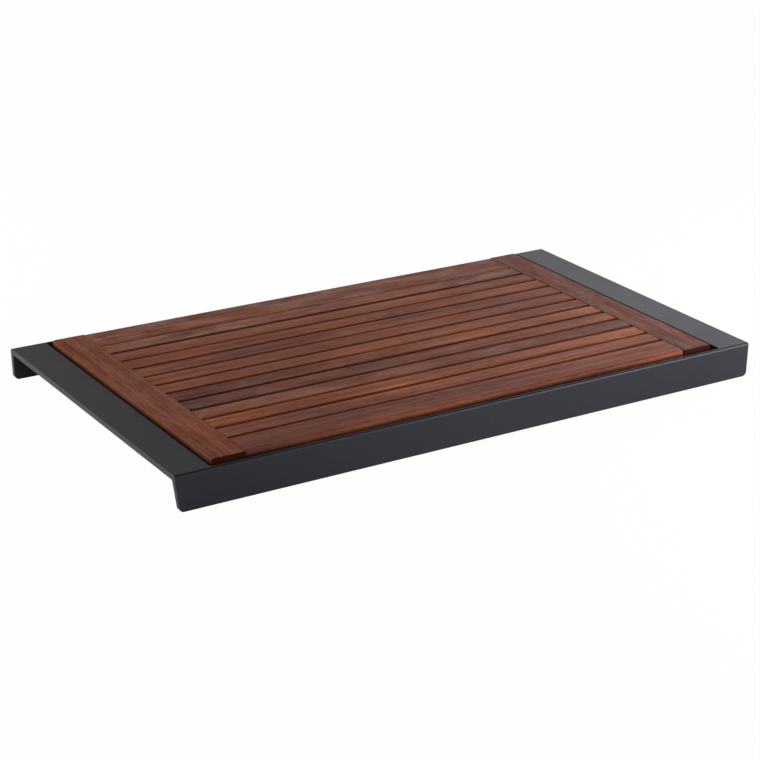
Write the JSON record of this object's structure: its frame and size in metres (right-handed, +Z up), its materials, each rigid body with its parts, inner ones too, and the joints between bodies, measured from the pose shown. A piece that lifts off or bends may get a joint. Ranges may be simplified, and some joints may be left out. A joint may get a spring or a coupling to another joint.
{
  "type": "serving tray",
  "caption": "Low rectangular serving tray: a folded dark sheet-metal frame with open short ends carries a lift-out grid of reddish-brown hardwood slats between end rails.",
  "frame": {"origin": "on the table, under the middle of the tray", "axes": "+X along the slats, from the left end plate to the right one; +Y from the front apron to the back apron; +Z up"},
  "size_m": [0.55, 0.298, 0.0325],
  "materials": {
    "powder_coat": "satin anthracite powder coat",
    "rail_wood": "oiled reddish-brown hardwood",
    "slat_wood": "oiled reddish-brown hardwood, each slat its own tone",
    "silicone": "matte dark silicone",
    "stainless": "bright stainless steel"
  },
  "bodies": {
    "frame": {"folded_frame": "powder_coat", "support_bar_left": "powder_coat", "support_bar_right": "powder_coat", "plate_rib_left": "powder_coat", "plate_rib_right": "powder_coat", "bumper_left_front": "silicone", "bumper_left_back": "silicone", "bumper_right_front": "silicone", "bumper_right_back": "silicone"},
    "grid": {"end_rail_left": "rail_wood", "end_rail_right": "rail_wood", "cross_batten": "rail_wood", "slat_01": "slat_wood", "slat_02": "slat_wood", "slat_03": "slat_wood", "slat_04": "slat_wood", "slat_05": "slat_wood", "slat_06": "slat_wood", "slat_07": "slat_wood", "slat_08": "slat_wood", "slat_09": "slat_wood", "slat_10": "slat_wood", "slat_11": "slat_wood", "slat_12": "slat_wood", "slat_13": "slat_wood", "batten_screw_01": "stainless", "batten_screw_02": "stainless", "batten_screw_03": "stainless", "batten_screw_04": "stainless", "batten_screw_05": "stainless", "batten_screw_06": "stainless", "batten_screw_07": "stainless", "batten_screw_08": "stainless", "batten_screw_09": "stainless", "batten_screw_10": "stainless", "batten_screw_11": "stainless", "batten_screw_12": "stainless", "batten_screw_13": "stainless"}
  },
  "joints": [
    {"name": "grid_lift", "type": "slide", "parent": "frame", "child": "grid", "axis": [0, 0, 1], "range_m": [0, 0.06]}
  ]
}
